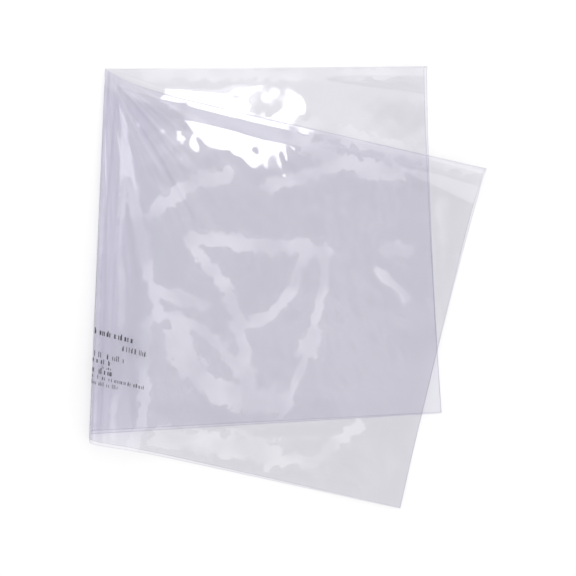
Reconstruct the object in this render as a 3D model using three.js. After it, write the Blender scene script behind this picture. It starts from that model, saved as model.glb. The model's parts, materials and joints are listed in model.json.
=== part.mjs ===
// Clear insulating cover sheet, folded in four and lying flat on a surface.
//
// One square of soft clear film is folded in half, top edge down onto bottom edge, and then in
// half again from the side. The two layers that lie on the table are the back leaf. The two
// layers on top of them are the front leaf, which is turned a little about the corner where
// the two folds meet. The front leaf opens like a book cover along the side fold.
//
// The film is one piece. Its nodes are the regions that the folds divide it into: in each leaf,
// two flat panels, one rounded top fold and two side fold strips.
//
// Millimetres, +Z up. +X runs from the side fold to the open edges, and +Y towards the top folds.

import * as THREE from 'three';

// Film
const filmThickness = 0.5;
const filmGap = 0.3;                       // clearance between neighbouring film regions
const layerStep = filmThickness + filmGap; // between the two layers of a leaf, middle to middle
const leafStep = 1.1;                      // between the back leaf and the front leaf

// Outline from above, with the corner where the folds meet at 0, 0. Angles are in degrees:
// a turn is anticlockwise from +X, and a lean goes towards +X from straight down the sheet.
const leafDepth = 500;                     // half the side of the square sheet, which is 1000
const sideFoldLean = -2.4;
const backLeaf = {
  topWidth: 456,
  topTurn: 0.36,
  sideFoldLength: 519,
  openEdgeLength: 492,
  openEdgeLean: 2.45,
  topSag: 0,
};
const frontLeaf = {
  topWidth: 558,
  topTurn: -14.8,
  sideFoldLength: 528,
  openEdgeLength: 496.5,
  openEdgeLean: -14.15,
  topSag: 17.8,
};
const sagOnset = 0.07;                     // share of the width in which the top fold's sag sets in

// Rounded folds
const tightRadius = (layerStep + filmThickness) / 2;   // outside, where the layers lie together
const topFoldRadius = 9;                   // outside, at the open end of a top fold
const settleLength = 25;                   // how soon a layer comes down from its top fold
const sideFoldWidth = 18;
const archHeight = 24;                     // of the front leaf along the side fold, at its open end
const archCrest = 18;                      // from the side fold to the top of the arch
const archGrowth = 0.7;                    // power by which the arch grows away from the corner

// Heights of the middle of each layer where it lies flat
const backLowerHeight = filmThickness / 2;
const backUpperHeight = backLowerHeight + layerStep;
const hingeHeight = backUpperHeight + leafStep / 2;

const film = { color: 0xdcdbe4, roughness: 0.08, metalness: 0 };

// Outline

function alongTop(length, turn) {
  const angle = THREE.MathUtils.degToRad(turn);
  return new THREE.Vector2(Math.cos(angle), Math.sin(angle)).multiplyScalar(length);
}

function downSheet(length, lean) {
  const angle = THREE.MathUtils.degToRad(lean);
  return new THREE.Vector2(Math.sin(angle), -Math.cos(angle)).multiplyScalar(length);
}

function leafCorners(leaf) {
  const topRight = alongTop(leaf.topWidth, leaf.topTurn);
  return {
    topLeft: new THREE.Vector2(0, 0),
    topRight,
    bottomLeft: downSheet(leaf.sideFoldLength, sideFoldLean),
    bottomRight: downSheet(leaf.openEdgeLength, leaf.openEdgeLean).add(topRight),
  };
}

// The point of a leaf at a share s of the way across and t of the way down.
function planPoint(leaf, s, t) {
  const corners = leafCorners(leaf);
  const left = corners.topLeft.clone().lerp(corners.bottomLeft, t);
  const right = corners.topRight.clone().lerp(corners.bottomRight, t);
  const point = left.lerp(right, s);
  point.y -= leaf.topSag * (1 - Math.exp(-s / sagOnset)) * (1 - s) * (1 - t) ** 2;
  return point;
}

// Heights

function foldRadius(share) {
  return tightRadius + (topFoldRadius - tightRadius) * THREE.MathUtils.clamp(share, 0, 1);
}

// Falls smoothly from 1 at the fold to nothing where the layers lie together.
function settle(distance) {
  const q = Math.max(distance, 0) / settleLength;
  return (1 + q) * Math.exp(-q);
}

// How far the upper layer stands above its resting height, at a distance below the top fold.
function foldLift(share, distance) {
  const radius = foldRadius(share);
  return 2 * (radius - tightRadius) * settle(distance - radius);
}

function backLift(point) {
  const foldSlope = Math.tan(THREE.MathUtils.degToRad(sideFoldLean));
  const topSlope = Math.tan(THREE.MathUtils.degToRad(backLeaf.topTurn));
  const across = point.x + point.y * foldSlope;
  const below = point.x * topSlope - point.y;
  return foldLift(across / backLeaf.topWidth, below);
}

// The front leaf rises steeply from the side fold, crests and comes down onto the back leaf.
function arch(across, t) {
  const q = Math.max(across, 0) / archCrest;
  return archHeight * Math.max(t, 0) ** archGrowth * Math.sqrt(q) * Math.exp((1 - q) / 2);
}

function quarterRound(across, radius) {
  const q = Math.min(across / radius, 1);
  return radius * Math.sqrt(1 - (1 - q) ** 2);
}

function frontLowerHeight(point, across, t) {
  return backUpperHeight + leafStep + backLift(point) + arch(across, t);
}

// Film regions. Each surface gives the middle of the film for u across and v down, from 0 to 1.

function panelPlace(leaf, u, v) {
  const firstAcross = sideFoldWidth + filmGap / 2;
  const s = (firstAcross + (leaf.topWidth - firstAcross) * u ** 1.4) / leaf.topWidth;
  const firstDown = foldRadius(s) + filmGap;
  const t = (firstDown + (leafDepth - firstDown) * v ** 1.5) / leafDepth;
  return { s, t, point: planPoint(leaf, s, t), across: s * leaf.topWidth, down: t * leafDepth };
}

function backLowerSurface(u, v) {
  const { point } = panelPlace(backLeaf, u, v);
  return new THREE.Vector3(point.x, point.y, backLowerHeight);
}

function backUpperSurface(u, v) {
  const { point } = panelPlace(backLeaf, u, v);
  return new THREE.Vector3(point.x, point.y, backUpperHeight + backLift(point));
}

function frontLowerSurface(u, v) {
  const { point, across, t } = panelPlace(frontLeaf, u, v);
  return new THREE.Vector3(point.x, point.y, frontLowerHeight(point, across, t));
}

function frontUpperSurface(u, v) {
  const { point, across, s, t, down } = panelPlace(frontLeaf, u, v);
  const height = frontLowerHeight(point, across, t) + layerStep + foldLift(s, down);
  return new THREE.Vector3(point.x, point.y, height);
}

// The rounded top fold runs from the lower layer round the outside to the upper layer.
function topFoldSurface(leaf, undersideHeight) {
  return (u, v) => {
    const first = (sideFoldWidth + filmGap / 2) / leaf.topWidth;
    const s = first + (1 - first) * u;
    const radius = foldRadius(s);
    const middleRadius = radius - filmThickness / 2;
    const angle = Math.PI * (v - 0.5);
    const down = radius - middleRadius * Math.cos(angle);
    const point = planPoint(leaf, s, down / leafDepth);
    const base = planPoint(leaf, s, radius / leafDepth);
    const centre = undersideHeight(base, s * leaf.topWidth, radius / leafDepth) + radius;
    return new THREE.Vector3(point.x, point.y, centre + middleRadius * Math.sin(angle));
  };
}

// A side fold strip leaves the hinge line upright and turns over into its panel. The outer strip
// is the layer outside the fold. rise is 1 in the front leaf and -1 in the back leaf.
function sideFoldSurface(leaf, layer, rise, extraHeight) {
  const isOuter = layer === 'outer';
  const start = layerStep / 2 + (isOuter ? 0 : layerStep);
  const radius = (leafStep - filmGap) / 2 + (isOuter ? layerStep : 0);
  const reach = sideFoldWidth - filmGap / 2;
  return (u, v) => {
    const across = reach * u ** 2;
    const s = (start * (1 - u) + across) / leaf.topWidth;
    const point = planPoint(leaf, s, v);
    const turn = rise * (filmGap / 2 + quarterRound(across, radius));
    return new THREE.Vector3(point.x, point.y, hingeHeight + turn + extraHeight(point, across, v));
  };
}

// Solids

function surfaceNormal(surface, u, v) {
  const step = 1e-3;
  const across = surface(Math.min(u + step, 1), v).sub(surface(Math.max(u - step, 0), v));
  const down = surface(u, Math.min(v + step, 1)).sub(surface(u, Math.max(v - step, 0)));
  return down.cross(across).normalize();
}

// A closed skin of film thickness about a surface, on a grid of columns by rows.
function filmGeometry(surface, columns, rows) {
  const positions = [];
  for (const side of [0.5, -0.5]) {
    for (let row = 0; row <= rows; row += 1) {
      for (let column = 0; column <= columns; column += 1) {
        const u = column / columns;
        const v = row / rows;
        const offset = surfaceNormal(surface, u, v).multiplyScalar(side * filmThickness);
        positions.push(...surface(u, v).add(offset).toArray());
      }
    }
  }
  const layerCount = (columns + 1) * (rows + 1);
  const at = (column, row) => row * (columns + 1) + column;
  const indices = [];
  const addQuad = (a, b, c, d) => indices.push(a, b, c, a, c, d);
  for (let row = 0; row < rows; row += 1) {
    for (let column = 0; column < columns; column += 1) {
      const a = at(column, row);
      const b = at(column, row + 1);
      const c = at(column + 1, row + 1);
      const d = at(column + 1, row);
      addQuad(a, b, c, d);
      addQuad(d + layerCount, c + layerCount, b + layerCount, a + layerCount);
    }
  }
  const rim = [];
  for (let row = 0; row < rows; row += 1) rim.push(at(0, row));
  for (let column = 0; column < columns; column += 1) rim.push(at(column, rows));
  for (let row = rows; row > 0; row -= 1) rim.push(at(columns, row));
  for (let column = columns; column > 0; column -= 1) rim.push(at(column, 0));
  rim.forEach((here, index) => {
    const next = rim[(index + 1) % rim.length];
    addQuad(next, here, here + layerCount, next + layerCount);
  });
  const geometry = new THREE.BufferGeometry();
  geometry.setAttribute('position', new THREE.Float32BufferAttribute(positions, 3));
  geometry.setIndex(indices);
  geometry.computeVertexNormals();
  return geometry;
}

function filmMesh(name, surface, columns, rows) {
  const mesh = new THREE.Mesh(filmGeometry(surface, columns, rows), new THREE.MeshStandardMaterial(film));
  mesh.name = name;
  return mesh;
}

// Back leaf, which lies on the table
const flat = () => 0;
const backLeafGroup = new THREE.Group();
backLeafGroup.add(
  filmMesh('back_lower_panel', backLowerSurface, 1, 1),
  filmMesh('back_upper_panel', backUpperSurface, 12, 12),
  filmMesh('back_top_fold', topFoldSurface(backLeaf, flat), 8, 8),
  filmMesh('back_side_fold_outer', sideFoldSurface(backLeaf, 'outer', -1, flat), 4, 6),
  filmMesh('back_side_fold_inner', sideFoldSurface(backLeaf, 'inner', -1, backLift), 4, 6),
);

// Front leaf, which turns over the side fold
const frontUnderside = (point, across, t) => frontLowerHeight(point, across, t) - filmThickness / 2;
const frontExtra = (point, across, t) => backLift(point) + arch(across, t);
const frontLeafGroup = new THREE.Group();
frontLeafGroup.add(
  filmMesh('front_lower_panel', frontLowerSurface, 14, 14),
  filmMesh('front_upper_panel', frontUpperSurface, 14, 14),
  filmMesh('front_top_fold', topFoldSurface(frontLeaf, frontUnderside), 12, 8),
  filmMesh('front_side_fold_outer', sideFoldSurface(frontLeaf, 'outer', 1, frontExtra), 10, 10),
  filmMesh('front_side_fold_inner', sideFoldSurface(frontLeaf, 'inner', 1, frontExtra), 10, 10),
);

// The origin is under the middle of the folded sheet.
const foldedSheet = new THREE.Group();
foldedSheet.add(backLeafGroup, frontLeafGroup);
const middle = new THREE.Box3().setFromObject(foldedSheet).getCenter(new THREE.Vector3());
foldedSheet.position.set(-middle.x, -middle.y, 0);

const part = new THREE.Group();
part.add(foldedSheet);

export default part;
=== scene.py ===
"""Clear insulating cover sheet, folded in four and lying flat: how it looks.

The sheet is one square of soft clear film. Here it is two pieces that meet along the side fold:
the back leaf, which lies on the table, and the front leaf, which lies on it and opens about
that fold. Each leaf is a continuous film: its lower layer runs round the rounded top fold into
its upper layer. Metres, +Z up, in the frame of the CAD part.
"""

import json
import math

import bpy
import numpy as np
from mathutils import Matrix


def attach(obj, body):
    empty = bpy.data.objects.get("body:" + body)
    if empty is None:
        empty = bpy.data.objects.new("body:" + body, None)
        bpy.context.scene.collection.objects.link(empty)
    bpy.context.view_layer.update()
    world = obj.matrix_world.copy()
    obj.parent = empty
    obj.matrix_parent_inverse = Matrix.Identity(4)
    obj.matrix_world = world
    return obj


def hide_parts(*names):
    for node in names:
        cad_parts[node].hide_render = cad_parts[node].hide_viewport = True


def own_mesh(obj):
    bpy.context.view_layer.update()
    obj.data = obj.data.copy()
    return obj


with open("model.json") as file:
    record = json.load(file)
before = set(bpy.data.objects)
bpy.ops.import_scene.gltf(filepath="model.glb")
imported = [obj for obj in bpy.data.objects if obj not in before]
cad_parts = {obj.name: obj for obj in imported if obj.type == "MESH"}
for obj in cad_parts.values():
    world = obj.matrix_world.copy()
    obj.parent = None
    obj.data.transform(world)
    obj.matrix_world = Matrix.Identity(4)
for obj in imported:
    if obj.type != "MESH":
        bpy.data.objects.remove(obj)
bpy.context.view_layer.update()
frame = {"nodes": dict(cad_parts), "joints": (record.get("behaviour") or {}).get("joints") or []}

# ---------------------------------------------------------------- sizes, in metres

THICKNESS = 0.0005
LAYER_STEP = 0.0008          # between the two layers of a leaf, middle to middle
LEAF_STEP = 0.0011           # between the back leaf and the front leaf
CREASE_STEP = 0.00055        # between the two layers where they meet at the side fold
LEAF_DEPTH = 0.5             # half the side of the square sheet

TIGHT_RADIUS = 0.00065       # of a top fold beside the side fold, outside
OPEN_FOLD_RADIUS = 0.009     # of the front leaf's top fold at its open end, outside
SOFT_FOLD_RADIUS = 0.0018    # of the front leaf's top fold a little way from the side fold
SOFT_FOLD_ONSET = 0.12       # share of the width over which it gets that soft
BACK_FOLD_OPENING = 0.45     # the back leaf's top fold at its open end, as a share of the front's
FOLD_SHOULDER = 0.0085       # how far the upper layer runs level behind its top fold
SETTLE_LENGTH = 0.013        # how soon it then comes down
ARCH_HEIGHT = 0.024          # of the front leaf beside the side fold, at its open end
ARCH_CREST = 0.018           # from the side fold to the top of the arch, at its open end
ARCH_GROWTH = 0.7            # power by which the arch grows away from the corner
TOP_SAG = 0.0178             # of the front leaf's top fold, towards the open end of the side fold
SAG_ONSET = 0.07             # share of the width in which that sag sets in
EDGE_BOW = 0.0035            # how far the cut side edges bow inwards half way down
STAGGER = 0.0045             # between the cut edges of the two layers, where they differ most

COLUMNS = 176                # of the film grid, from the side fold to the open edge
LAYER_ROWS = 112             # down each layer
FOLD_ROWS = 14               # round a top fold
EDGE_STRIP = 0.0009          # the outermost strip of the grid, where the cut edge shows

hinge = frame["joints"][0]
corner = np.array(hinge["pos_m"][:2])
side_fold = np.array(hinge["axis"][:2])
hinge_height = hinge["pos_m"][2]


# ---------------------------------------------------------------- outline

def farthest(node, direction):
    """The point of a CAD node that lies farthest in a direction, seen from above."""
    places = np.array([v.co[:2] for v in frame["nodes"][node].data.vertices])
    return places[np.argmax(places @ np.array(direction))]


BACK_FOLD_LENGTH = 0.519     # of the side fold in each leaf, down to its cut bottom edge
FRONT_FOLD_LENGTH = 0.528
BACK = {
    "top_right": farthest("back_top_fold", (1, 0.2)),
    "bottom_right": farthest("back_lower_panel", (1, -1)),
    "bottom_left": corner + side_fold * BACK_FOLD_LENGTH,
    "top_sag": 0.0,
    "soft_radius": TIGHT_RADIUS,
    "open_radius": BACK_FOLD_OPENING * OPEN_FOLD_RADIUS,
    "fold_growth": 6.0,
    "rise": -1,
}
FRONT = {
    "top_right": farthest("front_top_fold", (1, 0)),
    "bottom_right": farthest("front_upper_panel", (0, -1)),
    "bottom_left": corner + side_fold * FRONT_FOLD_LENGTH,
    "top_sag": TOP_SAG,
    "soft_radius": SOFT_FOLD_RADIUS,
    "open_radius": OPEN_FOLD_RADIUS,
    "fold_growth": 4.0,
    "rise": 1,
}
for leaf in (BACK, FRONT):
    leaf["width"] = float(np.linalg.norm(leaf["top_right"] - corner))


def unit(vector):
    return vector / np.linalg.norm(vector)


def top_sag(leaf, s):
    """How far a leaf's top fold sags below the straight line, a share s of the way across."""
    return leaf["top_sag"] * (1 - np.exp(-np.maximum(s, 0) / SAG_ONSET)) * (1 - s)


def plan(leaf, s, t):
    """Places from above of the points a share s of the way across and t of the way down a leaf."""
    s, t = s[..., None], t[..., None]
    left = corner + (leaf["bottom_left"] - corner) * t
    right = leaf["top_right"] + (leaf["bottom_right"] - leaf["top_right"]) * t
    place = left + (right - left) * s
    sag = top_sag(leaf, s) * (1 - np.minimum(t, 1)) ** 2
    bow = EDGE_BOW * 4 * t * (1 - t) * s ** 3
    return place - sag * np.array([0.0, 1.0]) - bow * unit(leaf["top_right"] - corner)


# ---------------------------------------------------------------- heights

def smooth(value):
    value = np.clip(value, 0, 1)
    return value * value * (3 - 2 * value)


def waves(place, seed, length, count=9):
    """A smooth random relief between about -1 and 1 whose bumps are about `length` across."""
    random = np.random.RandomState(seed)
    total = np.zeros(place.shape[:-1])
    for _ in range(count):
        heading = random.uniform(0, 2 * math.pi)
        turns = 2 * math.pi / (length * random.uniform(0.7, 1.6))
        phase = random.uniform(0, 2 * math.pi)
        total += np.sin((place @ [math.cos(heading), math.sin(heading)]) * turns + phase)
    return total / math.sqrt(count)


def fold_radius(leaf, share):
    """How round a top fold is: tight at the side fold, wider at its open end."""
    soft = (leaf["soft_radius"] - TIGHT_RADIUS) * smooth(share / SOFT_FOLD_ONSET)
    wide = (leaf["open_radius"] - leaf["soft_radius"]) * np.clip(share, 0, 1) ** leaf["fold_growth"]
    return TIGHT_RADIUS + soft + wide


def fold_lift(leaf, share, distance):
    """How much higher the upper layer lies behind its rounded top fold."""
    radius = fold_radius(leaf, share)
    lift = 2 * (radius - TIGHT_RADIUS)
    return lift * (1 - smooth((distance - radius - FOLD_SHOULDER) / (SETTLE_LENGTH + 2 * lift)))


def quarter_round(across, radius):
    q = np.clip(across / radius, 0, 1)
    return radius * np.sqrt(1 - (1 - q) ** 2)


def arch(across, t):
    """The front leaf bulges beside the soft side fold, like a cone that starts at the corner."""
    size = np.maximum(t, 1e-6) ** ARCH_GROWTH
    q = np.maximum(across, 0) / (ARCH_CREST * size)
    return ARCH_HEIGHT * size * np.sqrt(q) * np.exp((1 - q) / 2)


def from_fold(leaf, place):
    """How far places are from the side fold and from a leaf's top fold."""
    top = unit(leaf["top_right"] - corner)
    offset = place - corner
    across = offset @ np.array([-side_fold[1], side_fold[0]])
    below = offset @ np.array([top[1], -top[0]])
    return across, below


FAN_SLOPE = 0.035
FAN_FOLDS = 7
FAN_PITCH = (12, 60)
FAN_REACH = 0.42             # how far from the corner the fan dies away


def around_corner(place):
    """How far places are from the corner, and how far they are turned from the side fold."""
    across, below = from_fold(BACK, place)
    angle = np.arctan2(np.maximum(across, 0), np.maximum(below, 1e-6))
    return np.hypot(across, below), np.sqrt(angle)


RAY_PITCH = 26               # how closely the painted light and dark streaks about the corner are spaced
REACH_PITCH = 4              # and how soon they change along their length, per metre


def polar(place):
    """Coordinates in which a noise turns into the painted light and dark streaks that radiate from the
    corner.
    """
    reach, turn = around_corner(place)
    return np.stack([turn * RAY_PITCH, reach * REACH_PITCH, np.zeros(reach.shape)], axis=-1)


def fan(place):
    """Soft folds that radiate from the corner, shared by all the layers."""
    reach, turn = around_corner(place)
    random = np.random.RandomState(4)
    relief = np.zeros(reach.shape)
    for _ in range(FAN_FOLDS):
        pitch = random.uniform(*FAN_PITCH)
        relief += FAN_SLOPE / pitch * (1 + np.sin(pitch * turn + random.uniform(0, 2 * math.pi)))
    return relief / math.sqrt(FAN_FOLDS) * reach * np.exp(-(reach / FAN_REACH) ** 2)


# Where the layers cling together, as bands: half the width, then the points that a band runs
# through, seen from above.
CLING_BANDS = [
    (0.011, [(-0.138, 0.066), (-0.086, 0.069), (-0.028, 0.057), (0.034, 0.059), (0.055, 0.045)]),
    (0.008, [(0.038, 0.057), (0.017, 0.033), (0.010, 0.0), (-0.019, -0.039), (-0.071, -0.058)]),
    (0.006, [(0.052, 0.042), (0.051, -0.005), (0.038, -0.055), (0.021, -0.110), (0.0, -0.163)]),
    (0.014, [(0.038, -0.070), (0.026, -0.092)]),
    (0.009, [(-0.131, 0.052), (-0.088, 0.006), (-0.072, -0.045), (-0.064, -0.092), (-0.050, -0.140)]),
    (0.009, [(-0.181, -0.005), (-0.150, -0.016), (-0.119, -0.024)]),
    (0.007, [(-0.181, -0.039), (-0.148, -0.043), (-0.100, -0.074), (-0.062, -0.132)]),
    (0.017, [(-0.157, -0.058), (-0.148, -0.105), (-0.090, -0.158), (-0.009, -0.163)]),
    (0.011, [(-0.191, 0.104), (-0.138, 0.150), (-0.081, 0.159)]),
    (0.009, [(-0.028, 0.143), (0.029, 0.157), (0.086, 0.181)]),
    (0.013, [(0.148, 0.052), (0.166, 0.050)]),
    (0.006, [(0.124, 0.023), (0.148, 0.009), (0.167, -0.015)]),
    (0.008, [(-0.224, 0.157), (-0.207, 0.071), (-0.191, -0.005), (-0.181, -0.039)]),
    (0.008, [(-0.198, -0.050), (-0.206, -0.115), (-0.200, -0.167), (-0.217, -0.225)]),
    (0.008, [(-0.028, -0.253), (0.0, -0.239), (0.038, -0.253), (0.067, -0.220), (0.100, -0.196)]),
    (0.009, [(-0.200, 0.302), (0.190, 0.304)]),
    (0.011, [(0.010, 0.234), (0.150, 0.198), (0.265, 0.168)]),
    (0.012, [(0.020, 0.205), (0.085, 0.176), (0.160, 0.160)]),
    (0.018, [(-0.175, -0.213), (-0.100, -0.222), (-0.020, -0.236)]),
    (0.005, [(-0.260, 0.270), (-0.2645, 0.125), (-0.270, -0.017), (-0.275, -0.159), (-0.277, -0.205)]),
    (0.004, [(-0.233, 0.170), (-0.233, 0.120), (-0.241, 0.054), (-0.233, 0.020), (-0.236, -0.060)]),
    (0.004, [(-0.235, -0.135), (-0.249, -0.177), (-0.244, -0.215)]),
]
CLING_ROUNDINGS = 2
CLING_RELIEF = 0.0002        # how far the front leaf's upper layer stands up along the bands
CLING_RIM = 0.3              # how far outside a band its rim is, as a share of half its width


def rounded(path):
    """A path with its corners cut, so that it runs smoothly."""
    path = np.array(path)
    for _ in range(CLING_ROUNDINGS):
        start, end = path[:-1], path[1:]
        cut = np.stack([start * 0.75 + end * 0.25, start * 0.25 + end * 0.75], axis=1).reshape(-1, 2)
        path = np.concatenate([path[:1], cut, path[-1:]])
    return path


def cling(place):
    """1 in the middle of a band where the layers cling, 0 at its edge, down to -1 well outside."""
    field = np.full(place.shape[:-1], -1.0)
    for half_width, path in CLING_BANDS:
        path = rounded(path)
        for start, end in zip(path[:-1], path[1:]):
            along = end - start
            share = np.clip((place - start) @ along / (along @ along), 0, 1)
            nearest = start + share[..., None] * along
            distance = np.linalg.norm(place - nearest, axis=-1)
            field = np.maximum(field, 1 - distance / half_width)
    return field


CALM_WIDTH = 0.03            # how far from the folds the shared waves reach their full height
SUPPORT_FALL = 0.03          # how gradually the front leaf drops past the back leaf
EDGE_MARGIN = 0.002          # how far inside the back leaf's outline that starts
BACK_FINE = 0.00004          # height of the fine waves of the back leaf's upper layer
FRONT_FINE = 0.00008         # and of the front leaf's
# Seeds of the waves of the two upper layers. They aren't arbitrary: a search over 88 trials
# found them, scored by where the film then mirrors a window and where the photo is white.
BACK_SEED = 52
FRONT_SEED = 13


def shared_relief(place):
    """Waves that run through all the layers."""
    across, below = from_fold(BACK, place)
    ripple = 0.0003 * (1 + waves(place, 11, 0.16)) + 0.00005 * (1 + waves(place, 5, 0.05))
    growing = smooth(across / CALM_WIDTH) * smooth(below / CALM_WIDTH)
    return (np.maximum(ripple, 0) + fan(place)) * growing


def past_back_leaf(place):
    """How far places lie outside the back leaf's right and bottom edges."""
    right = unit(BACK["bottom_right"] - BACK["top_right"])
    bottom = unit(BACK["bottom_right"] - BACK["bottom_left"])
    past_right = (place - BACK["top_right"]) @ np.array([-right[1], right[0]])
    past_bottom = (place - BACK["bottom_left"]) @ np.array([bottom[1], -bottom[0]])
    return np.maximum(past_right, past_bottom)


def support(place):
    """How much the front leaf drops past the edges of the back leaf."""
    return -(hinge_height - THICKNESS / 2) * smooth((past_back_leaf(place) + EDGE_MARGIN) / SUPPORT_FALL)


def upper_ripple(place, across, down, seed, fine):
    """Waves of an upper layer alone, with fine ones of a given height among them."""
    ripple = 0.0002 * (1 + waves(place, seed, 0.11)) + fine * (1 + waves(place, seed + 1, 0.026))
    return np.maximum(ripple, 0) * smooth(across / 0.05) * smooth((down - 0.01) / 0.04)


def back_upper_lift(place):
    """How much the back leaf's upper layer stands off its lower one, which lifts the front leaf too."""
    across, below = from_fold(BACK, place)
    lift = fold_lift(BACK, across / BACK["width"], below)
    return lift + upper_ripple(place, across, below, BACK_SEED, BACK_FINE)


# ---------------------------------------------------------------- film layers

def layer_points(leaf, outer, across, down):
    """The middle of one layer, for each distance across from the side fold and down from the top.

    The outer layer is the one outside the side fold: the lower one in the back leaf and the
    upper one in the front leaf.
    """
    upper = outer == (leaf is FRONT)
    t = down / LEAF_DEPTH
    reach = 1 - across / leaf["width"]
    inset = 0.0 if outer else CREASE_STEP * reach ** 8
    if upper:
        t = t * (1 - STAGGER / LEAF_DEPTH * (0.3 + 0.7 * reach))
        inset = inset - STAGGER * np.clip(1 - t, 0, 1) ** 2 * smooth(1 - 4 * reach)
    s = (across + inset) / leaf["width"]
    place = plan(leaf, s, t)
    radius = LEAF_STEP / 2 + (LAYER_STEP if outer else 0)
    height = hinge_height + leaf["rise"] * quarter_round(across, radius) + shared_relief(place)
    if leaf is FRONT or upper:
        height = height + back_upper_lift(place)
    if leaf is FRONT:
        height = height + arch(across, t) + support(place)
    if leaf is FRONT and upper:
        height = height + fold_lift(FRONT, s, down)
        height = height + upper_ripple(place, across, down, FRONT_SEED, FRONT_FINE)
        height = height + CLING_RELIEF * smooth(cling(place) + CLING_RIM)
    return np.concatenate([place, height[..., None]], axis=-1)


HEAD_ON_REFLECTION = 0.05    # share of light that one face of the film mirrors straight back
HIDDEN_SHINE = 0.09          # of faces that lie against another layer, next to a free face
LONE_SHINE = 0.36            # of a lower layer where only one leaf lies
ARCH_SHINE = 0.3             # of the free faces beside the side fold, which are a little dull
STEEP_SHADE = 0.1            # how much darker the film is where it stands up steeply
BEND_SHADE = 0.3             # how much darker it is round a top fold
BEND_SHINE = 0.3             # and how much of a face's mirroring is left there
ARCH_SHINE_REACH = 0.05      # how far across the faces stay that dull
ARCH_SHINE_BLEND = 0.08
CORNER_DEPTH = 0.018         # how far below the top fold they are glossy all the same
CORNER_BLEND = 0.01
PAINTED_MIRROR_LOSS_SHADE = 0.33            # painted shade: darkens a face that mirrors less as much as the mirroring that it lacks would
STREAK_SHADE = 0.16          # how much darker the painted shade of the streaks along the side fold is
STREAK_COUNT = 6
STREAK_PITCH = (0.006, 0.016)
STREAK_WANDER = 0.003        # how far they wander sideways
STREAK_REACH = 0.035         # how far across they fade out
COLUMN_CROWDING = 1.5        # powers by which the grid is finer beside the side and top folds
ROW_CROWDING = 1.25
FLAT_SHIFT = 3.0             # sets the front leaf's noises apart from the back leaf's
CREASE_ANGLE = math.radians(50)


def shine(leaf, upper, place, across, down):
    """How much a layer mirrors, as a share of what a free face does."""
    if leaf is BACK:
        across_front, below_front = from_fold(FRONT, place)
        covered = below_front - top_sag(FRONT, across_front / FRONT["width"])
        lone = 1 - smooth((covered + EDGE_MARGIN) / (2 * EDGE_MARGIN))
    else:
        lone = smooth((past_back_leaf(place) + EDGE_MARGIN) / (2 * EDGE_MARGIN))
    if not upper:
        return HIDDEN_SHINE + (LONE_SHINE - HIDDEN_SHINE) * lone
    if leaf is BACK:
        return HIDDEN_SHINE + (1 - HIDDEN_SHINE) * lone
    clear_of_arch = smooth((across - ARCH_SHINE_REACH) / ARCH_SHINE_BLEND)
    near_corner = 1 - smooth((down - CORNER_DEPTH) / CORNER_BLEND)
    return ARCH_SHINE + (1 - ARCH_SHINE) * np.maximum(clear_of_arch, near_corner)


def painted_fold_streak_shade(across, down):
    """How dark the painted shade is in the streaks that run along the side fold."""
    random = np.random.RandomState(6)
    total = np.zeros(across.shape)
    for _ in range(STREAK_COUNT):
        pitch = random.uniform(*STREAK_PITCH)
        wander = STREAK_WANDER * np.sin(down * random.uniform(8, 20) + random.uniform(0, 2 * math.pi))
        total += np.sin((across + wander) * 2 * math.pi / pitch + random.uniform(0, 2 * math.pi))
    fading = smooth(across / 0.008) * np.exp(-(across / STREAK_REACH) ** 2)
    return np.maximum(total / math.sqrt(STREAK_COUNT) + 0.3, 0) * fading


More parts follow.
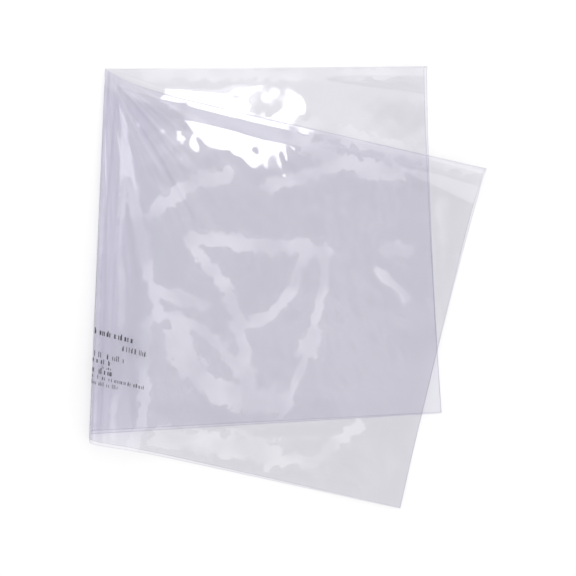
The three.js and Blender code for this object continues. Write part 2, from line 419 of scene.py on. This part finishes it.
def leaf_grid(leaf):
    """A leaf's film from the lower layer's bottom edge round to the upper one's, as a grid.

    Returns its points and, for each, how much it mirrors, how it clings, how dark it is (1 on a cut edge,
    and painted shade beside and along the side fold), and where it is in the flat sheet, seen from above
    and about the corner.
    """
    across = np.linspace(0, 1, COLUMNS) ** COLUMN_CROWDING * (leaf["width"] - EDGE_STRIP)
    across = np.append(across, leaf["width"])
    radius = fold_radius(leaf, across / leaf["width"])
    share = np.linspace(0, 1, LAYER_ROWS)[:, None] ** ROW_CROWDING
    down = radius + (LEAF_DEPTH - EDGE_STRIP - radius) * share
    down = np.concatenate([down, np.full((1, len(across)), LEAF_DEPTH)])
    across_grid = np.broadcast_to(across, down.shape)
    lower = layer_points(leaf, leaf is BACK, across_grid, down)
    upper = layer_points(leaf, leaf is FRONT, across_grid, down)

    angle = np.linspace(-math.pi / 2, math.pi / 2, FOLD_ROWS + 1)[1:-1, None]
    centre = (lower[0] + upper[0]) / 2
    half = (upper[0] - lower[0]) / 2
    outward = plan(leaf, across / leaf["width"], np.full(across.shape, THICKNESS / 2 / LEAF_DEPTH))
    outward = np.concatenate([outward - centre[:, :2], np.zeros((len(across), 1))], axis=-1)
    bend = centre + outward * np.cos(angle)[..., None] + half * np.sin(angle)[..., None]
    points = np.concatenate([lower[::-1], bend, upper])

    lower_shine = shine(leaf, False, lower[..., :2], across_grid, down)
    upper_shine = shine(leaf, True, upper[..., :2], across_grid, down)
    bend_shine = BEND_SHINE * np.broadcast_to(upper_shine[0], bend.shape[:2])
    slope = np.gradient(points[..., 2], axis=1) / np.maximum(np.gradient(points[..., 0], axis=1), 1e-5)
    edge = STEEP_SHADE * np.minimum(np.hypot(1, slope) - 1, 2)
    turned = np.concatenate([-down[::-1], np.sin(angle) * radius, down])
    if leaf is FRONT:
        # painted shade where the upper layer mirrors less beside the side fold
        edge[-len(upper):] += PAINTED_MIRROR_LOSS_SHADE * (1 - upper_shine)
        # painted shade in streaks along the side fold
        edge[-len(upper):] += STREAK_SHADE * painted_fold_streak_shade(across_grid, down)
    edge[len(lower):-len(upper)] += BEND_SHADE * np.cos(angle) ** 2
    edge[[0, -1]] = 1
    edge[:, -1] = 1
    sheet = np.stack([np.broadcast_to(across, turned.shape), turned, np.zeros(turned.shape)], axis=-1)
    return {
        "points": points,
        "shine": np.concatenate([lower_shine[::-1], bend_shine, upper_shine]),
        "cling": cling(points[..., :2]),
        "edge": edge,
        "sheet": sheet + (FLAT_SHIFT if leaf is FRONT else 0.0),
        "place": points * np.array([1, 1, 0]),
        "polar": polar(points[..., :2]),
    }


def film_mesh(name, grid):
    """A closed film of even thickness about a grid of points."""
    points = grid["points"]
    rows, columns = points.shape[:2]
    down = np.gradient(points, axis=0)
    across = np.gradient(points, axis=1)
    normal = np.cross(across, down)
    normal /= np.linalg.norm(normal, axis=-1, keepdims=True)
    skins = [points + normal * THICKNESS / 2, points - normal * THICKNESS / 2]
    vertices = np.concatenate([skin.reshape(-1, 3) for skin in skins])

    index = np.arange(rows * columns).reshape(rows, columns)
    quads = np.stack([index[:-1, :-1], index[:-1, 1:], index[1:, 1:], index[1:, :-1]], axis=-1)
    quads = quads.reshape(-1, 4)
    rim = np.concatenate([index[0, :-1], index[:-1, -1], index[-1, :0:-1], index[:0:-1, 0]])
    after = np.roll(rim, -1)
    second = rows * columns
    walls = np.stack([after, rim, rim + second, after + second], axis=-1)
    faces = np.concatenate([quads, quads[:, ::-1] + second, walls])

    mesh = bpy.data.meshes.new(name)
    mesh.from_pydata(vertices.tolist(), [], faces.tolist())
    mesh.polygons.foreach_set("use_smooth", [True] * len(faces))
    mesh.set_sharp_from_angle(angle=CREASE_ANGLE)
    for key in ("shine", "cling", "edge"):
        values = np.tile(grid[key].ravel(), 2)
        mesh.attributes.new(key, "FLOAT", "POINT").data.foreach_set("value", values)
    for key in ("sheet", "place", "polar"):
        values = np.tile(grid[key].reshape(-1, 3), (2, 1)).ravel()
        mesh.attributes.new(key, "FLOAT_VECTOR", "POINT").data.foreach_set("vector", values)
    mesh.update()
    piece = bpy.data.objects.new(name, mesh)
    bpy.context.scene.collection.objects.link(piece)
    return piece


# ---------------------------------------------------------------- the printed block

# One row of print: share of the way down the side fold, height, pitch of its letters, whether it
# is bold, and where its words start and end, counted from the side fold.
PRINTED_ROWS = [
    (0.714, 0.0082, 0.0049, True, [(0.002, 0.007), (0.0095, 0.058)]),
    (0.742, 0.0074, 0.0045, False, [(0.0415, 0.077)]),
    (0.774, 0.0074, 0.0052, False, [(0.003, 0.019), (0.022, 0.049)]),
    (0.790, 0.0068, 0.0050, False, [(0.002, 0.006), (0.008, 0.022), (0.0245, 0.028)]),
    (0.802, 0.0034, 0.0032, False, [(0.015, 0.030)]),
    (0.817, 0.0076, 0.0050, True, [(0.001, 0.0085), (0.012, 0.030)]),
    (0.832, 0.0056, 0.0042, False, [(0.002, 0.007), (0.009, 0.014), (0.016, 0.032), (0.034, 0.077)]),
    (0.849, 0.0056, 0.0036, False, [(0.001, 0.042)]),
]
PRINT_TILT = 0.03            # the rows run down a little more than the top fold does
INK_DEPTH = 0.00005
INK_LIFT = 0.00006           # of the ink's lower face above the film
BOLD_STROKE = 0.3            # width of an upright stroke, as a share of the pitch
THIN_STROKE = 0.2
STROKE_PLACES = [0.04, 0.3, 0.5]
LETTER_HEIGHTS = [1.0, 0.72, 0.72]


def printed_marks():
    """Rows of short upright marks in place of print, as thin boxes of ink on the front leaf."""
    random = np.random.RandomState(8)
    strips = []
    for share, height, pitch, bold, words in PRINTED_ROWS:
        stroke = pitch * (BOLD_STROKE if bold else THIN_STROKE)
        middle_of_row = np.array([share])
        ends = plan(FRONT, np.array([0.0]), middle_of_row), plan(FRONT, np.array([1.0]), middle_of_row)
        stretch = FRONT["width"] / np.linalg.norm(ends[1] - ends[0])
        for start, end in words:
            for letter in np.arange(start, end - pitch / 2, pitch):
                for offset in random.choice(STROKE_PLACES, size=random.choice([1, 2]), replace=False):
                    tall = height * random.choice(LETTER_HEIGHTS)
                    place = letter + pitch * (offset + random.uniform(0, 0.1))
                    base = share * LEAF_DEPTH + PRINT_TILT * place
                    strips.append((place * stretch, (place + stroke) * stretch, base - tall, base))
    strips = np.array(strips)
    across = strips[:, [0, 1, 1, 0]]
    down = strips[:, [3, 3, 2, 2]]
    step = 0.0002
    middle = layer_points(FRONT, True, across, down)
    sideways = layer_points(FRONT, True, across + step, down) - middle
    downwards = layer_points(FRONT, True, across, down + step) - middle
    normal = np.cross(downwards, sideways)
    normal /= np.linalg.norm(normal, axis=-1, keepdims=True)
    bottom = middle + normal * (THICKNESS / 2 + INK_LIFT)
    top = bottom + normal * INK_DEPTH
    vertices = np.concatenate([bottom, top], axis=1).reshape(-1, 3)
    sides = [(3, 2, 1, 0), (4, 5, 6, 7), (0, 1, 5, 4), (1, 2, 6, 5), (2, 3, 7, 6), (3, 0, 4, 7)]
    faces = []
    for mark in range(len(strips)):
        faces += [[8 * mark + vertex for vertex in side] for side in sides]
    mesh = bpy.data.meshes.new("printed_block")
    mesh.from_pydata(vertices.tolist(), [], faces)
    mesh.update()
    piece = bpy.data.objects.new("printed_block", mesh)
    bpy.context.scene.collection.objects.link(piece)
    return piece


# ---------------------------------------------------------------- materials

class Nodes:
    """A short way to write a node tree."""

    def __init__(self, tree):
        self.tree = tree
        tree.nodes.clear()

    def add(self, kind, **settings):
        node = self.tree.nodes.new("ShaderNode" + kind)
        for name, value in settings.items():
            if hasattr(node, name):
                setattr(node, name, value)
            else:
                node.inputs[name.replace("_", " ")].default_value = value
        return node

    def join(self, source, target):
        self.tree.links.new(source, target)

    def math(self, operation, first, second):
        """The output of a Math node on two outputs or numbers."""
        node = self.add("Math", operation=operation)
        for socket, value in zip(node.inputs, (first, second)):
            if isinstance(value, (int, float)):
                socket.default_value = value
            else:
                self.join(value, socket)
        return node.outputs[0]

    def ramp(self, value, low, high, first=0.0, last=1.0):
        """The output of a smooth step of a value from low to high."""
        node = self.add("MapRange", interpolation_type="SMOOTHSTEP")
        node.inputs["From Min"].default_value = low
        node.inputs["From Max"].default_value = high
        node.inputs["To Min"].default_value = first
        node.inputs["To Max"].default_value = last
        self.join(value, node.inputs["Value"])
        return node.outputs[0]


def new_material(name):
    material = bpy.data.materials.new(name)
    material.use_nodes = True
    return material, Nodes(material.node_tree)


FLOOR_COLOUR = (0.9, 0.9, 0.9, 1)
INK_DARK = (0.02, 0.02, 0.024, 1)
INK_WORN = (0.11, 0.11, 0.125, 1)

# What one face of the film lets through: where it lies loose; where the layers cling, also used for the
# painted highlights about the corner; and on a cut edge, also used for the painted shade.
FILM_TINT = (0.9805, 0.9795, 0.9875, 1)
CLING_AND_HIGHLIGHT_TINT = (0.991, 0.990, 0.9965, 1)
EDGE_AND_SHADE_TINT = (0.84, 0.83, 0.88, 1)
BAND_DULLING = 0.4           # how much of a face's mirroring the clinging bands take away


def clear_film():
    """Clear glossy film: it lets light straight through and mirrors a little of it."""
    material, nodes = new_material("clear_film")
    sheet = nodes.add("Attribute", attribute_name="sheet").outputs["Vector"]
    place = nodes.add("Attribute", attribute_name="place").outputs["Vector"]
    shine_share = nodes.add("Attribute", attribute_name="shine").outputs["Fac"]
    cling_field = nodes.add("Attribute", attribute_name="cling").outputs["Fac"]
    edge_and_painted_shade = nodes.add("Attribute", attribute_name="edge").outputs["Fac"]

    def noise(vector, scale, detail):
        texture = nodes.add("TexNoise", Scale=scale, Detail=detail)
        nodes.join(vector, texture.inputs["Vector"])
        return texture.outputs["Fac"]

    # where the layers cling they look lighter, in uneven bands with a fine line along their rims
    wander = nodes.ramp(noise(place, 62.0, 2.0), 0.25, 0.75, -0.6, 0.6)
    field = nodes.math("ADD", cling_field, wander)
    strength = nodes.ramp(noise(place, 13.0, 2.0), 0.4, 0.62, 0.4, 1.0)
    band = nodes.math("MULTIPLY", nodes.ramp(field, -0.03, 0.07), strength)
    from_rim = nodes.math("ABSOLUTE", nodes.math("ADD", field, CLING_RIM), 0.0)
    rim = nodes.ramp(from_rim, 0.02, 0.07, 0.5, 0.0)

    # painted highlights and painted shade in streaks that radiate from the corner, where the soft folds
    # would mirror the room, and freckles of tiny contact spots
    about_corner = nodes.add("Attribute", attribute_name="polar").outputs["Vector"]
    rays = noise(about_corner, 1.0, 3.0)
    reach = nodes.add("SeparateXYZ")
    nodes.join(about_corner, reach.inputs[0])
    fading = nodes.ramp(reach.outputs["Y"], 0.4, 1.5, 1.0, 0.1)
    # painted highlight along the streaks, and painted shade between them
    streaks = nodes.math("MULTIPLY", nodes.ramp(rays, 0.51, 0.64, 0.0, 0.6), fading)
    painted_ray_shade = nodes.math("MULTIPLY", nodes.ramp(rays, 0.3, 0.45, 0.05, 0.0), fading)
    patches = nodes.ramp(noise(place, 17.0, 1.0), 0.52, 0.62)
    freckles = nodes.math("MULTIPLY", nodes.ramp(noise(place, 210.0, 4.0), 0.54, 0.6, 0.0, 0.35), patches)
    bands = nodes.math("MAXIMUM", band, rim)
    light = nodes.math("MAXIMUM", bands, nodes.math("MAXIMUM", streaks, freckles))

    # how much a face mirrors: a little head on, more at a glancing angle
    facing = nodes.add("LayerWeight", Blend=0.5).outputs["Facing"]
    glancing = nodes.math("MULTIPLY", nodes.math("POWER", facing, 5.0), 1 - HEAD_ON_REFLECTION)
    kept = nodes.math("SUBTRACT", 1.0, nodes.math("MULTIPLY", band, BAND_DULLING))
    head_on = nodes.math("MULTIPLY", nodes.math("MULTIPLY", shine_share, HEAD_ON_REFLECTION), kept)
    share = nodes.math("ADD", head_on, glancing)

    # the tint: lighter where layers cling and for painted highlights, darker on cut edges and for painted
    # shade
    through = nodes.add("BsdfTransparent")
    body = nodes.add("Mix", data_type="RGBA")
    body.inputs[6].default_value = FILM_TINT
    body.inputs[7].default_value = CLING_AND_HIGHLIGHT_TINT
    tint = nodes.add("Mix", data_type="RGBA")
    tint.inputs[7].default_value = EDGE_AND_SHADE_TINT
    nodes.join(light, body.inputs[0])
    nodes.join(body.outputs[2], tint.inputs[6])
    nodes.join(nodes.math("ADD", edge_and_painted_shade, painted_ray_shade), tint.inputs[0])
    nodes.join(tint.outputs[2], through.inputs["Color"])

    # the film's surface: faint orange peel, and rubbed patches that mirror less sharply
    grain = nodes.add("TexNoise", Scale=90.0, Detail=2.0)
    nodes.join(sheet, grain.inputs["Vector"])
    bump = nodes.add("Bump", Strength=0.02, Distance=0.002)
    nodes.join(grain.outputs["Fac"], bump.inputs["Height"])
    rubbed = nodes.add("TexNoise", Scale=14.0, Detail=6.0, Roughness=0.6)
    nodes.join(sheet, rubbed.inputs["Vector"])
    mirror = nodes.add("BsdfGlossy")
    nodes.join(nodes.ramp(rubbed.outputs["Fac"], 0.45, 0.75, 0.02, 0.09), mirror.inputs["Roughness"])
    nodes.join(bump.outputs["Normal"], mirror.inputs["Normal"])

    mix = nodes.add("MixShader")
    output = nodes.add("OutputMaterial")
    nodes.join(share, mix.inputs["Fac"])
    nodes.join(through.outputs[0], mix.inputs[1])
    nodes.join(mirror.outputs[0], mix.inputs[2])
    nodes.join(mix.outputs[0], output.inputs["Surface"])
    return material


def print_ink():
    """Thin dark ink, worn unevenly."""
    material, nodes = new_material("print_ink")
    place = nodes.add("TexCoord").outputs["Object"]
    wear = nodes.add("TexNoise", Scale=900.0, Detail=3.0)
    nodes.join(place, wear.inputs["Vector"])
    colour = nodes.add("ValToRGB")
    colour.color_ramp.elements[0].position = 0.35
    colour.color_ramp.elements[0].color = INK_DARK
    colour.color_ramp.elements[1].position = 0.7
    colour.color_ramp.elements[1].color = INK_WORN
    nodes.join(wear.outputs["Fac"], colour.inputs["Fac"])
    surface = nodes.add("BsdfPrincipled", Roughness=0.45)
    nodes.join(colour.outputs["Color"], surface.inputs["Base Color"])
    output = nodes.add("OutputMaterial")
    nodes.join(surface.outputs[0], output.inputs["Surface"])
    return material


def floor_material():
    """A plain, matt, pale floor."""
    material, nodes = new_material("pale_floor")
    surface = nodes.add("BsdfDiffuse")
    surface.inputs["Color"].default_value = FLOOR_COLOUR
    output = nodes.add("OutputMaterial")
    nodes.join(surface.outputs[0], output.inputs["Surface"])
    return material


# ---------------------------------------------------------------- the sheet

film = clear_film()
back_film = film_mesh("back_film", leaf_grid(BACK))
front_film = film_mesh("front_film", leaf_grid(FRONT))
printed_block = printed_marks()
printed_block.data.materials.append(print_ink())
for piece in (back_film, front_film):
    piece.data.materials.append(film)

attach(back_film, "back_leaf")
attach(front_film, "front_leaf")
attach(printed_block, "front_leaf")
for piece in (front_film, printed_block):
    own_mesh(piece)
for leaf, piece in (("back", back_film), ("front", front_film)):
    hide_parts(*[name for name in frame["nodes"] if name.startswith(leaf)])


# ---------------------------------------------------------------- floor, light and camera

FLOOR_SIDE = 200
FLOOR_DROP = 0.0002          # below the film, so that the two don't touch


def floor_plane():
    half = FLOOR_SIDE / 2
    corners = [(-half, -half, 0), (half, -half, 0), (half, half, 0), (-half, half, 0)]
    mesh = bpy.data.meshes.new("floor")
    mesh.from_pydata(corners, [], [(0, 1, 2, 3)])
    mesh.materials.append(floor_material())
    piece = bpy.data.objects.new("floor", mesh)
    piece.location.z = -FLOOR_DROP
    bpy.context.scene.collection.objects.link(piece)
    return piece


# The overhead window has two broad panes, the rear one set back and to the left, and a narrow
# pane at their right end. They are all turned alike. The panes' places and sizes are round
# figures, chosen close to the ones that the same search had found.
WINDOW_CENTRE = (-0.13, 0.42)        # the middle of the front broad pane
WINDOW_TURN = math.radians(-7)
BROAD_PANE = (0.24, 0.1)
NARROW_PANE = (0.04, 0.17)
PANE_PLACES = [((0.0, 0.0), BROAD_PANE), ((-0.07, 0.05), BROAD_PANE), ((0.11, 0.0), NARROW_PANE)]
WINDOW_HEIGHT = 1.2
WINDOW_STRENGTH = 20         # watts for each square metre of pane


def overhead_window():
    """The window that the film mirrors as its white highlights."""
    for number, (offset, (width, depth)) in enumerate(PANE_PLACES, 1):
        data = bpy.data.lights.new(f"window_pane_{number}", "AREA")
        data.shape = "RECTANGLE"
        data.size = width
        data.size_y = depth
        data.energy = WINDOW_STRENGTH * width * depth
        pane = bpy.data.objects.new(f"window_pane_{number}", data)
        x, y = np.add(WINDOW_CENTRE, offset)
        pane.location = (x, y, WINDOW_HEIGHT)
        pane.rotation_euler.z = WINDOW_TURN
        bpy.context.scene.collection.objects.link(pane)


WORLD_LEVEL = 1.62           # brightness of the room
DIM_LEVEL = 0.15             # and of the dim patch of ceiling


def studio_world():
    """A bright room with a dim patch of ceiling overhead, which the film mirrors."""
    world = bpy.data.worlds.new("studio")
    bpy.context.scene.world = world
    world.use_nodes = True
    sky = Nodes(world.node_tree)
    heading = sky.add("TexCoord").outputs["Generated"]
    split = sky.add("SeparateXYZ")
    sky.join(heading, split.inputs[0])
    clutter = sky.add("TexNoise", Scale=7.0, Detail=2.0, Distortion=0.6)
    sky.join(heading, clutter.inputs["Vector"])
    before = sky.ramp(split.outputs["Y"], 0.11, 0.175, 1.0, 0.0)
    behind = sky.ramp(split.outputs["Y"], -0.6, -0.45)
    beside = sky.ramp(sky.math("ABSOLUTE", split.outputs["X"], 0.0), 0.22, 0.4, 1.0, 0.0)
    above = sky.ramp(split.outputs["Z"], 0.0, 0.3)
    dim = sky.math("MULTIPLY", sky.math("MULTIPLY", before, behind), sky.math("MULTIPLY", beside, above))
    patches = sky.ramp(clutter.outputs["Fac"], 0.38, 0.6, 0.6, 1.0)
    level = sky.ramp(sky.math("MULTIPLY", dim, patches), 0.0, 1.0, WORLD_LEVEL, DIM_LEVEL)
    room = sky.add("TexNoise", Scale=1.7, Detail=1.0)
    sky.join(heading, room.inputs["Vector"])
    panels = sky.ramp(room.outputs["Fac"], 0.42, 0.58, 0.62, 1.0)
    horizon = sky.ramp(split.outputs["Z"], 0.0, 0.45, 0.62, 1.0)
    level = sky.math("MULTIPLY", sky.math("MULTIPLY", level, panels), horizon)
    backdrop = sky.add("Background")
    backdrop.inputs["Color"].default_value = (1, 1, 1, 1)
    sky.join(level, backdrop.inputs["Strength"])
    output = sky.add("OutputWorld")
    sky.join(backdrop.outputs[0], output.inputs["Surface"])


floor_plane()
overhead_window()
studio_world()

TRANSPARENT_BOUNCES = 48     # enough to see through all the layers, seen from low down too
VIEW_WIDTH = 0.818           # of the table that the picture shows
VIEW_CENTRE = (0.0006, -0.0007)
camera_data = bpy.data.cameras.new("camera")
camera_data.sensor_width = 36
camera_data.lens = 70
camera = bpy.data.objects.new("camera", camera_data)
camera.location = (*VIEW_CENTRE, VIEW_WIDTH * camera_data.lens / camera_data.sensor_width)
bpy.context.scene.collection.objects.link(camera)
bpy.context.scene.camera = camera

bpy.context.scene.view_settings.view_transform = "Standard"
bpy.context.scene.cycles.transparent_max_bounces = TRANSPARENT_BOUNCES
